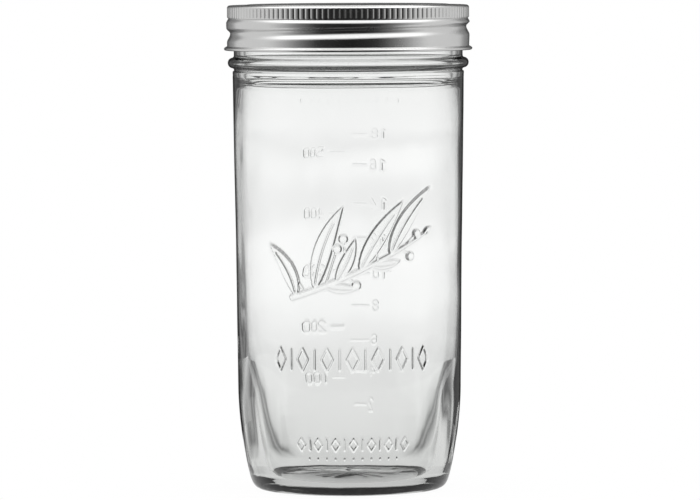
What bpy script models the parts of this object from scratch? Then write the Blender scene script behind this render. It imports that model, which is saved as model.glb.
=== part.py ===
"""A wide-mouth mason jar of 24 fluid ounces with its two-piece closure, standing on z = 0.

It is made of the four pieces that the real one comes apart into: the glass jar, the screw band, the lid
disc and the sealing ring that is bonded under the lid's edge. The band screws onto the neck, and its
flange holds the lid on the rim. The front of the jar faces -Y.
Sizes are in millimetres, and turned() scales them to metres.
"""

import math

import bmesh
import bpy

MM = 0.001
SEGMENTS = 48  # facets round every turned piece

# Glass jar: radii and heights of its outside.
JAR_HEIGHT = 173.75
FOOT_INNER_RADIUS = 28.0
FOOT_OUTER_RADIUS = 31.5
PUSH_UP = 2.2  # how far the middle of the base is pushed up off the table
HEEL_TOP = (36.4, 6.9)
WALL_FOOT = (40.2, 38.0)
WALL = [(40.45, 61.5), (40.8, 94.0), (41.4, 127.0), (41.75, 150.8)]
SHOULDER_RADIUS = 42.1
SHOULDER_TOP = 152.7
BEAD_RADIUS = 43.85  # the transfer bead under the thread
BEAD_HALF_HEIGHT = 1.9
NECK_RADIUS = 41.65
NECK_FOOT = 157.6
LIP_ROUNDING = 1.1
RIM_INNER_ROUNDING = 0.8

# Glass jar: its inside.
BORE_RADIUS = 38.1
BORE_FOOT = 149.8
INSIDE_WALL = [(38.75, 147.4), (38.55, 110.0), (38.0, 75.0), (37.1, 50.0), (35.8, 28.0), (34.2, 14.5)]
FLOOR_EDGE = (27.5, 5.4)
FLOOR_MIDDLE = 6.2

# The screw thread. A height on a thread is that of its crest straight to the right of the axis, at +X.
THREAD_PITCH = 5.08  # five turns to the inch
THREAD_ROWS = 0.9  # spacing of the mesh rows that carry a thread
GLASS_THREAD = {"height": 170.1, "from_deg": -345.0, "to_deg": 37.5, "half_width": 1.6, "fade_deg": 22.5}
GLASS_THREAD_STANDS = 1.15
BAND_THREAD = {"height": 168.6, "from_deg": -315.0, "to_deg": 37.5, "half_width": 2.0, "fade_deg": 37.5}
BAND_THREAD_DEPTH = 1.05

# Screw band of rolled tinplate, and its rolled edge.
SHEET = 0.3
BAND_TOP = 176.0
BAND_RADIUS = 43.9
BAND_CORNER = 1.3
BAND_HOLE_RADIUS = 38.8
SKIRT_FOOT = 161.7
SKIRT_TOP = 171.3
CURL_RADIUS = 0.4
CURL_RADIUS_AT = 44.65
CURL_HEIGHT = 160.15

# Lid disc and the sealing ring under its edge.
LID_SHEET = 0.25
LID_RADIUS = 42.45
LID_LIP_FOOT = 173.6
LID_EDGE_HEIGHT = 175.3
LID_EDGE_ROUNDING = 0.5
CHANNEL = [(41.7, 175.3), (37.2, 175.3)]
PANEL_STEP = [(36.7, 175.5), (36.4, 176.3), (36.0, 176.75)]
PANEL = [(35.4, 176.9), (13.9, 176.9)]
BUTTON = [(13.6, 176.9), (11.4, 177.06)]
SEAL_INNER_RADIUS = 38.7
SEAL_OUTER_RADIUS = 41.95
SEAL_FOOT = 174.0
SEAL_TOP = 174.95
SEAL_CHAMFER = 0.3

FINISHES = {
    "clear_glass": {"colour": (0.93, 0.96, 0.95, 0.35), "roughness": 0.03, "metallic": 0.0},
    "tinplate": {"colour": (0.72, 0.72, 0.71, 1.0), "roughness": 0.25, "metallic": 1.0},
    "lid_lacquer": {"colour": (0.75, 0.75, 0.74, 1.0), "roughness": 0.3, "metallic": 1.0},
    "sealing_compound": {"colour": (0.25, 0.26, 0.28, 1.0), "roughness": 0.6, "metallic": 0.0},
}


def arc(centre, radius, from_deg, to_deg, steps):
    """Points on an arc in the (radius, height) plane, both ends included."""
    turns = [math.radians(from_deg + (to_deg - from_deg) * i / steps) for i in range(steps + 1)]
    return [(centre[0] + radius * math.cos(a), centre[1] + radius * math.sin(a)) for a in turns]


def bezier(start, start_handle, end_handle, end, steps):
    """Points on a cubic curve, leaving out its start."""
    points = []
    for i in range(1, steps + 1):
        t = i / steps
        weights = ((1 - t) ** 3, 3 * t * (1 - t) ** 2, 3 * t * t * (1 - t), t**3)
        knots = (start, start_handle, end_handle, end)
        points.append(tuple(sum(w * knot[axis] for w, knot in zip(weights, knots)) for axis in (0, 1)))
    return points


def rows(radius, low, high):
    """Points up a straight wall, close enough together to carry a thread."""
    count = round((high - low) / THREAD_ROWS)
    return [(radius, low + (high - low) * i / count) for i in range(count + 1)]


def sheet_outline(centreline, thickness):
    """The outline of sheet metal of this thickness, up one side of its centreline and back down the other."""
    sides = ([], [])
    for i, (r, z) in enumerate(centreline):
        before = centreline[max(i - 1, 0)]
        after = centreline[min(i + 1, len(centreline) - 1)]
        along = (after[0] - before[0], after[1] - before[1])
        half = thickness / 2 / math.hypot(*along)
        sides[0].append((r - along[1] * half, z + along[0] * half))
        sides[1].append((r + along[1] * half, z - along[0] * half))
    return sides[0] + sides[1][::-1]


def thread_share(angle_deg, height, thread):
    """How much of a thread's full height stands at this place on a wall, from 0 to 1."""
    share = 0.0
    for turn in (-1, 0, 1):
        along = angle_deg + 360.0 * turn
        run_in = min(along - thread["from_deg"], thread["to_deg"] - along) / thread["fade_deg"]
        off = abs(height - thread["height"] - THREAD_PITCH * along / 360.0) / thread["half_width"]
        if run_in > 0.0 and off < 1.0:
            share = max(share, min(run_in, 1.0) * 0.5 * (1.0 + math.cos(math.pi * off)))
    return share


def roll_thread(piece, thread, stands, least_radius):
    """Moves the walls outside least_radius out by the thread's height, or in where stands is negative."""
    for vertex in piece.data.vertices:
        x, y, z = (value / MM for value in vertex.co)
        radius = math.hypot(x, y)
        if radius > least_radius:
            share = thread_share(math.degrees(math.atan2(y, x)), z, thread)
            wider = 1.0 + stands * share / radius
            vertex.co.x *= wider
            vertex.co.y *= wider


def finish(name):
    """The material of this name, made the first time that it is asked for."""
    if name in bpy.data.materials:
        return bpy.data.materials[name]
    look = FINISHES[name]
    material = bpy.data.materials.new(name)
    material.use_nodes = True
    shader = material.node_tree.nodes["Principled BSDF"]
    shader.inputs["Base Color"].default_value = look["colour"]
    shader.inputs["Roughness"].default_value = look["roughness"]
    shader.inputs["Metallic"].default_value = look["metallic"]
    material.diffuse_color = look["colour"]
    return material


def turned(name, outline, finish_name, closed):
    """A piece turned round the axis. An outline that isn't closed has its two ends capped flat."""
    mesh = bpy.data.meshes.new(name)
    bm = bmesh.new()
    points = [bm.verts.new((r * MM, 0.0, z * MM)) for r, z in outline]
    lines = [bm.edges.new(pair) for pair in zip(points, points[1:])]
    if closed:
        lines.append(bm.edges.new((points[-1], points[0])))
    bmesh.ops.spin(
        bm,
        geom=points + lines,
        cent=(0.0, 0.0, 0.0),
        axis=(0.0, 0.0, 1.0),
        angle=2.0 * math.pi,
        steps=SEGMENTS,
        use_merge=True,
    )
    bmesh.ops.holes_fill(bm, edges=[edge for edge in bm.edges if edge.is_boundary], sides=0)
    bmesh.ops.recalc_face_normals(bm, faces=bm.faces)
    bm.to_mesh(mesh)
    bm.free()
    mesh.materials.append(finish(finish_name))
    mesh.shade_smooth()
    mesh.set_sharp_from_angle(angle=math.radians(35.0))
    piece = bpy.data.objects.new(name, mesh)
    bpy.context.scene.collection.objects.link(piece)
    return piece


def jar_outside():
    """The jar's outline from the middle of the base up to the rim."""
    base = [(4.0, PUSH_UP), (18.0, 0.75 * PUSH_UP), (26.5, 0.2 * PUSH_UP), (FOOT_INNER_RADIUS, 0.0)]
    heel = bezier((FOOT_OUTER_RADIUS, 0.0), (34.6, 0.0), (35.7, 3.6), HEEL_TOP, 4)
    lower_wall = bezier(HEEL_TOP, (38.6, 16.9), (40.2, 28.0), WALL_FOOT, 4)
    shoulder = [(SHOULDER_RADIUS, SHOULDER_TOP - 0.8), (SHOULDER_RADIUS, SHOULDER_TOP)]
    bead_middle = NECK_FOOT - BEAD_HALF_HEIGHT - 0.6
    bead = [
        (
            NECK_RADIUS + (BEAD_RADIUS - NECK_RADIUS) * math.cos(math.radians(turn)) ** 0.7,
            bead_middle + BEAD_HALF_HEIGHT * math.sin(math.radians(turn)),
        )
        for turn in (-80, -50, -20, 20, 50, 80)
    ]
    neck = rows(NECK_RADIUS, NECK_FOOT, JAR_HEIGHT - LIP_ROUNDING - 0.2)
    lip = arc((NECK_RADIUS - LIP_ROUNDING, JAR_HEIGHT - LIP_ROUNDING), LIP_ROUNDING, 0.0, 90.0, 3)
    foot = [(FOOT_OUTER_RADIUS, 0.0)]
    return base + foot + heel + lower_wall + WALL + shoulder + bead + neck + lip


def jar_inside():
    """The jar's outline from the rim down to the middle of its inside floor."""
    centre = (BORE_RADIUS + RIM_INNER_ROUNDING, JAR_HEIGHT - RIM_INNER_ROUNDING)
    rim = arc(centre, RIM_INNER_ROUNDING, 90.0, 180.0, 3)
    corner = bezier(INSIDE_WALL[-1], (32.9, 8.2), (31.0, 5.9), FLOOR_EDGE, 4)
    return rim + [(BORE_RADIUS, BORE_FOOT)] + INSIDE_WALL + corner + [(4.0, FLOOR_MIDDLE)]


def make_jar():
    """The glass jar, with its foot ring, transfer bead and one turn of outside thread."""
    jar = turned("glass_jar", jar_outside() + jar_inside(), "clear_glass", closed=False)
    inside_neck = (NECK_RADIUS + BORE_RADIUS) / 2
    roll_thread(jar, GLASS_THREAD, GLASS_THREAD_STANDS, inside_neck)


def make_band():
    """The screw band: flange, skirt with its rolled thread, and the curled lower edge."""
    middle_radius = BAND_RADIUS - SHEET / 2
    flange = [(BAND_HOLE_RADIUS, BAND_TOP - SHEET / 2)]
    corner_centre = (middle_radius - BAND_CORNER, BAND_TOP - SHEET / 2 - BAND_CORNER)
    corner = arc(corner_centre, BAND_CORNER, 90.0, 0.0, 4)
    skirt = rows(middle_radius, SKIRT_FOOT, SKIRT_TOP)[::-1]
    curl = arc((CURL_RADIUS_AT, CURL_HEIGHT), CURL_RADIUS, 125.0, -150.0, 7)
    band = turned("screw_band", sheet_outline(flange + corner + skirt + curl, SHEET), "tinplate", closed=True)
    roll_thread(band, BAND_THREAD, -BAND_THREAD_DEPTH, BAND_HOLE_RADIUS)


def make_lid():
    """The lid disc: turned-down lip, edge over the seal, raised panel and shallow middle button."""
    lip = [(LID_RADIUS, LID_LIP_FOOT)]
    edge_centre = (LID_RADIUS - LID_EDGE_ROUNDING, LID_EDGE_HEIGHT - LID_EDGE_ROUNDING)
    edge = arc(edge_centre, LID_EDGE_ROUNDING, 0.0, 90.0, 2)
    from_lip = lip + edge + CHANNEL + PANEL_STEP + PANEL + BUTTON
    turned("lid_disc", sheet_outline(from_lip[::-1], LID_SHEET), "lid_lacquer", closed=False)


def make_seal():
    """The ring of sealing compound that the lid presses onto the rim."""
    low, high, cut = SEAL_FOOT, SEAL_TOP, SEAL_CHAMFER
    outline = [
        (SEAL_INNER_RADIUS, high),
        (SEAL_INNER_RADIUS, low + cut),
        (SEAL_INNER_RADIUS + cut, low),
        (SEAL_OUTER_RADIUS - cut, low),
        (SEAL_OUTER_RADIUS, low + cut),
        (SEAL_OUTER_RADIUS, high),
    ]
    turned("seal_ring", outline, "sealing_compound", closed=True)


for old in list(bpy.data.objects):
    bpy.data.objects.remove(old)
make_jar()
make_band()
make_lid()
make_seal()
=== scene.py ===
"""A wide-mouth mason jar with its two-piece closure, in a plain white studio.

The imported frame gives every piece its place. Each class below turns one fine piece round the jar's axis,
presses its marks into it and gives it its finish. Sizes are in millimetres until a mesh is made. Angles
round the axis are counted in degrees from the front, which faces -Y, towards +X.
"""

import logging
import math
from collections.abc import Callable
from dataclasses import dataclass
from enum import Enum
from typing import ClassVar

import bpy
import numpy as np
from mathutils import Euler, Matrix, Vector


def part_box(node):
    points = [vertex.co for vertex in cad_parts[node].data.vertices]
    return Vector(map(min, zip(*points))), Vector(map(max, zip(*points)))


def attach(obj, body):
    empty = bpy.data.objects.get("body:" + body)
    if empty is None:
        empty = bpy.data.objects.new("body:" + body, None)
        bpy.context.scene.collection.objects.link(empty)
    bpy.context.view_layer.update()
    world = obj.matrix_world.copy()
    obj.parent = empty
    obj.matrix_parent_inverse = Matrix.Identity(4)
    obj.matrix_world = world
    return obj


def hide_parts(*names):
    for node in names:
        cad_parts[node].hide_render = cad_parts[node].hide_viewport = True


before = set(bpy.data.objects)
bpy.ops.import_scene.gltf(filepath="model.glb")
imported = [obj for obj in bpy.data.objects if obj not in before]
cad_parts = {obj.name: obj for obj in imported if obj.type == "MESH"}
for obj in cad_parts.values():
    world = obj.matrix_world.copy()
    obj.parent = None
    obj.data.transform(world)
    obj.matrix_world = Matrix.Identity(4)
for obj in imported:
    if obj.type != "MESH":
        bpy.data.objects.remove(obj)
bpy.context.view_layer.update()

MM = 0.001
Point = tuple[float, float]
Colour = tuple[float, float, float]
LOG = logging.getLogger("mason_jar")


class Body(Enum):
    """The bodies of the frame that a piece can ride on."""

    JAR = "jar"
    LID = "lid"
    BAND = "band"


# ---------------------------------------------------------------------------------------------------------
# Outlines
# ---------------------------------------------------------------------------------------------------------


def arc(centre: Point, radius: float, from_deg: float, to_deg: float, steps: int) -> list[Point]:
    """Points on an arc in the (radius, height) plane.

    Args:
        centre: Middle of the arc.
        radius: Its radius.
        from_deg: Angle of its first point, anticlockwise from straight outwards.
        to_deg: Angle of its last point.
        steps: Number of equal steps between them.

    Returns:
        The points, both ends included.
    """
    turns = [math.radians(from_deg + (to_deg - from_deg) * i / steps) for i in range(steps + 1)]
    return [(centre[0] + radius * math.cos(a), centre[1] + radius * math.sin(a)) for a in turns]


def bezier(knots: tuple[Point, Point, Point, Point], steps: int) -> list[Point]:
    """Points on a cubic curve.

    Args:
        knots: Start, its handle, the end's handle and the end.
        steps: Number of steps from start to end.

    Returns:
        The points, both ends included.
    """
    t = np.linspace(0.0, 1.0, steps + 1)[:, None]
    start, out, back, end = (np.array(knot) for knot in knots)
    curve = (1 - t) ** 3 * start + 3 * t * (1 - t) ** 2 * out + 3 * t * t * (1 - t) * back + t**3 * end
    return [tuple(point) for point in curve]


def smooth(points: list[Point], steps: int) -> list[Point]:
    """A smooth curve through points, whose slope at each is that of the line between its neighbours.

    Args:
        points: The points that it passes through.
        steps: Number of steps between one of them and the next.

    Returns:
        The curve's points, both ends included.
    """
    knots = np.array(points)
    lengths = np.concatenate([[0.0], np.cumsum(np.hypot(*np.diff(knots, axis=0).T))])
    slopes = np.gradient(knots, lengths, axis=0)
    curve = [points[0]]
    for i in range(len(points) - 1):
        reach = (lengths[i + 1] - lengths[i]) / 3
        handles = (knots[i] + slopes[i] * reach, knots[i + 1] - slopes[i + 1] * reach)
        curve += bezier((knots[i], handles[0], handles[1], knots[i + 1]), steps)[1:]
    return curve


def spaced(outline: list[Point], spacing: Callable[[float], float]) -> np.ndarray:
    """The same outline with new points along it.

    Args:
        outline: Its present points.
        spacing: A function from a point's height to the wanted distance to the next point.

    Returns:
        One row for each new point, radius and height. The ends stay.
    """
    path = np.array(outline)
    along = np.concatenate([[0.0], np.cumsum(np.hypot(*np.diff(path, axis=0).T))])
    stops = [0.0]
    while stops[-1] < along[-1]:
        height = float(np.interp(stops[-1], along, path[:, 1]))
        stops.append(stops[-1] + spacing(height))
    places = np.array(stops) * (along[-1] / stops[-1])
    return np.stack([np.interp(places, along, path[:, axis]) for axis in (0, 1)], axis=1)


def sheet(centreline: list[Point], thickness: float) -> np.ndarray:
    """The closed outline of sheet metal.

    Args:
        centreline: Points along the middle of the sheet.
        thickness: The sheet's thickness.

    Returns:
        One row for each point, up one side of the centreline and back down the other.
    """
    path = np.array(centreline)
    along = np.gradient(path, axis=0)
    along /= np.hypot(along[:, 0], along[:, 1])[:, None]
    across = np.stack([-along[:, 1], along[:, 0]], axis=1) * (thickness / 2)
    return np.concatenate([path + across, (path - across)[::-1]])


@dataclass(frozen=True)
class TurnedPiece:
    """A closed surface turned round the axis on a lattice, whose radius may change round the turn.

    Attributes:
        name: The piece's name.
        angles: Degrees from the front for each column of the lattice.
        radii: Radius at each row and column.
        heights: Height at each row and column.
        capped: Whether the first and last rows close on the axis, instead of on each other.
        split: Lattice steps to one face along the outline, and to one face round the turn.
        fine: Which of those faces are split into all their lattice steps.
    """

    name: str
    angles: np.ndarray
    radii: np.ndarray
    heights: np.ndarray
    capped: bool
    split: tuple[int, int] = (1, 1)
    fine: np.ndarray | None = None

    def _whole_face(self, row: int, column: int, fine: np.ndarray) -> list[int]:
        """The lattice points round one face that isn't split, with those that a split neighbour shares.

        Args:
            row: The face's row.
            column: The face's column.
            fine: Which faces are split.

        Returns:
            Numbers of the points, in order round the face.
        """
        up, across = self.split
        rows, columns = fine.shape
        wide = self.radii.shape[1]
        left, right = column * across, (column + 1) * across
        low, high = row * up, (row + 1) * up
        below = across if not fine[row - 1, column] else 1
        above = across if not fine[(row + 1) % rows, column] else 1
        before = up if not fine[row, column - 1] else 1
        after = up if not fine[row, (column + 1) % columns] else 1
        ring = [(low, i) for i in range(left, right, below)]
        ring += [(i, right) for i in range(low, high, after)]
        ring += [(high, i) for i in range(right, left, -above)]
        ring += [(i, left) for i in range(high, low, -before)]
        return [i % self.radii.shape[0] * wide + j % wide for i, j in ring]

    def _faces(self) -> list[list[int]]:
        """Finds every face.

        Returns:
            The numbers of the lattice points round each face.
        """
        up, across = self.split
        tall, wide = self.radii.shape
        rows = (tall - 1) // up if self.capped else tall // up
        fine = np.zeros((rows, wide // across), bool) if self.fine is None else self.fine
        faces = [self._whole_face(row, column, fine) for row, column in zip(*np.nonzero(~fine))]
        for row, column in zip(*np.nonzero(fine)):
            i = np.repeat(np.arange(row * up, (row + 1) * up), across)
            j = np.tile(np.arange(column * across, (column + 1) * across), up)
            after = (j + 1) % wide
            here, above = i * wide, (i + 1) % tall * wide
            faces += np.stack([here + j, here + after, above + after, above + j], axis=1).tolist()
        return faces

    def make(self) -> bpy.types.Object:
        """Makes the mesh and its object, in metres and shaded smooth.

        Returns:
            The new object, already in the scene.
        """
        turn = np.radians(self.angles)[None, :]
        places = [self.radii * np.sin(turn), -self.radii * np.cos(turn), self.heights]
        points = np.stack(places, axis=-1).reshape(-1, 3)
        faces = self._faces()
        if self.capped:
            tall, wide = self.radii.shape
            columns = list(range(0, wide, self.split[1]))
            for row, way in ((0, -1), (tall - 1, 1)):
                points = np.concatenate([points, [[0.0, 0.0, self.heights[row].mean()]]])
                for i, j in zip(columns, columns[1:] + columns[:1]):
                    faces.append([len(points) - 1, *(row * wide + k for k in (i, j)[::way])])
        used = np.unique(np.concatenate([np.array(face) for face in faces]))
        number = np.zeros(len(points), int)
        number[used] = np.arange(len(used))
        mesh = bpy.data.meshes.new(self.name)
        mesh.from_pydata((points[used] * MM).tolist(), [], [number[face].tolist() for face in faces])
        mesh.shade_smooth()
        mesh.update()
        piece = bpy.data.objects.new(self.name, mesh)
        bpy.context.scene.collection.objects.link(piece)
        LOG.info("%s: %d triangles", self.name, sum(len(face) - 2 for face in faces))
        return piece


# ---------------------------------------------------------------------------------------------------------
# Threads and raised marks
# ---------------------------------------------------------------------------------------------------------


@dataclass(frozen=True)
class ScrewThread:
    """A right-hand ridge that winds round a wall and fades out at both ends.

    Attributes:
        height: Height of its crest straight to the right of the axis.
        from_deg: Where it starts, in degrees anticlockwise from straight right.
        to_deg: Where it ends.
        half_width: Width of the ridge above its crest.
        fade_deg: Length of the fade at each end.
        tail: Width of the ridge under its crest.
        pitch: How much it rises in one turn.
    """

    height: float
    from_deg: float
    to_deg: float
    half_width: float
    fade_deg: float
    tail: float
    pitch: float = 5.08

    def share(self, angles: np.ndarray, heights: np.ndarray) -> np.ndarray:
        """How much of the ridge's full height stands at each place.

        Args:
            angles: Degrees from the front, one for each column.
            heights: Heights at each row and column.

        Returns:
            A share from 0 to 1 at each row and column.
        """
        share = np.zeros(heights.shape)
        for turn in (-2, -1, 0, 1):
            along = angles[None, :] - 90.0 + 360.0 * turn
            run_in = np.minimum(along - self.from_deg, self.to_deg - along) / self.fade_deg
            off = heights - self.height - self.pitch * along / 360.0
            off = np.where(off > 0.0, off / self.half_width, off / -self.tail)
            ridge = 0.5 * (1.0 + np.cos(np.pi * np.clip(off, 0.0, 1.0)))
            fade = np.clip(run_in, 0.0, 1.0)
            share = np.maximum(share, ridge * fade * fade * (3.0 - 2.0 * fade))
        return share


@dataclass(frozen=True)
class Stroke:
    """One raised line of a mark: points on the unrolled wall, and half its width at each of them."""

    points: tuple[Point, ...]
    half_widths: tuple[float, ...]

    @classmethod
    def even(cls, points: list[Point], half_width: float) -> "Stroke":
        """A stroke of the same width all along."""
        return cls(tuple(points), (half_width,) * len(points))

    def depth(self, x: np.ndarray, y: np.ndarray) -> np.ndarray:
        """How far inside the stroke's edge each place lies.

        Args:
            x: Places along the wall.
            y: Places up the wall.

        Returns:
            The distance to the nearest edge, negative outside the stroke.
        """
        deepest = np.full(x.shape, -np.inf)
        for i in range(max(len(self.points) - 1, 1)):
            start = self.points[i]
            end = self.points[min(i + 1, len(self.points) - 1)]
            first, last = self.half_widths[i], self.half_widths[min(i + 1, len(self.points) - 1)]
            run, rise = end[0] - start[0], end[1] - start[1]
            length = max(run * run + rise * rise, 1e-9)
            t = np.clip(((x - start[0]) * run + (y - start[1]) * rise) / length, 0.0, 1.0)
            distance = np.hypot(x - start[0] - run * t, y - start[1] - rise * t)
            deepest = np.maximum(deepest, first + (last - first) * t - distance)
        return deepest


@dataclass(frozen=True)
class Mark:
    """A group of raised strokes on the unrolled wall.

    Attributes:
        strokes: Its raised lines.
        middle_deg: Where its middle is round the jar.
        height: Height of its middle on the jar.
        stands: How far the strokes stand off the wall.
        shoulder: Width of the rounded slope at a stroke's edge.
        veins: Lines cut back into the strokes.
    """

    strokes: tuple[Stroke, ...]
    middle_deg: float
    height: float
    stands: float
    shoulder: float
    veins: tuple[Stroke, ...] = ()

    def raised(self, angles: np.ndarray, heights: np.ndarray, radius: float) -> np.ndarray:
        """How far the mark stands off the wall at each place.

        Args:
            angles: Degrees from the front, one for each column.
            heights: One for each row.
            radius: The wall's radius here, which unrolls the angles.

        Returns:
            A height at each row and column.
        """
        turned = (angles - self.middle_deg + 180.0) % 360.0 - 180.0
        x, y = np.meshgrid(np.radians(turned) * radius, heights - self.height)
        ridge = np.zeros(x.shape)
        for strokes, sign in ((self.strokes, 1.0), (self.veins, -1.0)):
            for stroke in strokes:
                reach = max(stroke.half_widths) + self.shoulder
                columns = self._window(x[0], [p[0] for p in stroke.points], reach)
                rows = self._window(y[:, 0], [p[1] for p in stroke.points], reach)
                if columns.stop > columns.start and rows.stop > rows.start:
                    part = (rows, columns)
                    slope = np.clip(stroke.depth(x[part], y[part]) / self.shoulder, 0.0, 1.0)
                    slope = slope * slope * (3.0 - 2.0 * slope)
                    if sign > 0.0:
                        ridge[part] = np.maximum(ridge[part], slope)
                    else:
                        ridge[part] = np.minimum(ridge[part], 1.0 - 0.8 * slope)
        return ridge * self.stands

    @staticmethod
    def _window(places: np.ndarray, wanted: list[float], reach: float) -> slice:
        """The run of places that a stroke can touch."""
        inside = np.nonzero((places > min(wanted) - reach) & (places < max(wanted) + reach))[0]
        return slice(int(inside[0]), int(inside[-1]) + 1) if len(inside) else slice(0, 0)


@dataclass(frozen=True)
class Leaf:
    """A leaf of the sprig.

    Attributes:
        step: Where on the stem it grows, in steps of its curve.
        heading_deg: Direction in which it sets off.
        length: Its length.
        half_width: Half its width at the widest.
        bend_deg: How far it bends by its tip.
    """

    step: int
    heading_deg: float
    length: float
    half_width: float
    bend_deg: float

    def strokes(self, foot: Point) -> tuple[Stroke, Stroke]:
        """The strokes of the leaf.

        Args:
            foot: Where it grows from.

        Returns:
            Its blade and its vein.
        """
        shares = np.linspace(0.0, 1.0, 15)
        turns = np.radians(self.heading_deg + self.bend_deg * shares)
        reach = self.length * shares
        rib = [(foot[0] + r * math.cos(a), foot[1] + r * math.sin(a)) for r, a in zip(reach, turns)]
        widths = 0.3 + (self.half_width - 0.3) * np.sin(np.pi * shares**0.8) ** 0.85
        return Stroke(tuple(rib), tuple(widths)), Stroke.even(rib[1:-3], 0.55)


@dataclass(frozen=True)
class Sprig:
    """The emblem on the front: a slanting sprig with upright leaves over its stem and berries.

    Attributes:
        stem: Start, two handles and end of the stem's curve.
        stem_half_widths: Half the stem's width at its foot and at its tip.
        leaves: Its leaves.
        berries: Step on the stem, heading and length of the stalk, for each berry.
        berry_radius: Radius of a berry.
    """

    stem: tuple[Point, Point, Point, Point] = ((-22.0, -21.5), (-9.0, -18.0), (8.0, -9.5), (27.5, 1.0))
    stem_half_widths: Point = (1.5, 0.9)
    leaves: tuple[Leaf, ...] = (
        Leaf(1, 100.0, 22.0, 3.2, 22.0),
        Leaf(5, 84.0, 32.0, 3.6, -13.0),
        Leaf(9, 56.0, 17.0, 2.6, 10.0),
        Leaf(13, 64.0, 30.0, 3.3, -7.0),
        Leaf(18, 70.0, 30.0, 3.2, -15.0),
        Leaf(24, 34.0, 4.0, 1.5, 0.0),
        Leaf(7, -14.0, 12.0, 2.2, 10.0),
        Leaf(15, -6.0, 11.0, 2.0, 14.0),
    )
    berries: tuple[tuple[int, float, float], ...] = (
        (3, 122.0, 12.0),
        (7, 72.0, 14.0),
        (11, 96.0, 13.5),
        (11, -46.0, 4.5),
        (16, 92.0, 9.0),
        (20, 40.0, 8.0),
        (20, -40.0, 4.5),
    )
    berry_radius: float = 1.9

    def strokes(self) -> tuple[list[Stroke], list[Stroke]]:
        """All the sprig's raised strokes and its veins.

        Returns:
            The strokes, then the veins.
        """
        curve = bezier(self.stem, 24)
        widths = tuple(np.linspace(*self.stem_half_widths, len(curve)))
        strokes, veins = [Stroke(tuple(curve), widths)], []
        for leaf in self.leaves:
            blade, vein = leaf.strokes(curve[leaf.step])
            strokes.append(blade)
            veins.append(vein)
        for step, heading_deg, stalk in self.berries:
            foot, heading = curve[step], math.radians(heading_deg)
            tip = (foot[0] + stalk * math.cos(heading), foot[1] + stalk * math.sin(heading))
            strokes.append(Stroke.even([foot, tip], 0.5))
            strokes.append(Stroke.even([tip], self.berry_radius))
        return strokes, veins


@dataclass(frozen=True)
class Border:
    """A row of small plain shapes, in which lozenges and bars take turns.

    Attributes:
        width: Width of the row, from the middle of its first shape to that of its last.
        tall: Height of the shapes.
        count: Number of shapes.
        half_width: Half the width of their lines.
    """

    width: float
    tall: float
    count: int
    half_width: float

    # Width of a lozenge, as a share of the distance from one shape to the next.
    FILLED: ClassVar[float] = 0.92

    def lozenge(self, x: float, width: float) -> Stroke:
        """The outline of one lozenge, standing on its point.

        Args:
            x: Where its middle is.
            width: Its width.

        Returns:
            The outline as one closed stroke.
        """
        up, across = self.tall / 2, width / 2
        corners = [(x, up), (x + across, 0.0), (x, -up), (x - across, 0.0), (x, up)]
        return Stroke.even(corners, self.half_width)

    def bar(self, x: float) -> Stroke:
        """One upright bar."""
        end = self.tall / 2 - self.half_width
        return Stroke.even([(x, end), (x, -end)], self.half_width)

    def strokes(self) -> tuple[Stroke, ...]:
        """Draws the whole row.

        Returns:
            All its shapes, with x from its middle.
        """
        pitch = self.width / (self.count - 1)
        places = [pitch * i - self.width / 2 for i in range(self.count)]
        wide = pitch * self.FILLED
        return tuple(self.bar(x) if i % 2 else self.lozenge(x, wide) for i, x in enumerate(places))


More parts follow.
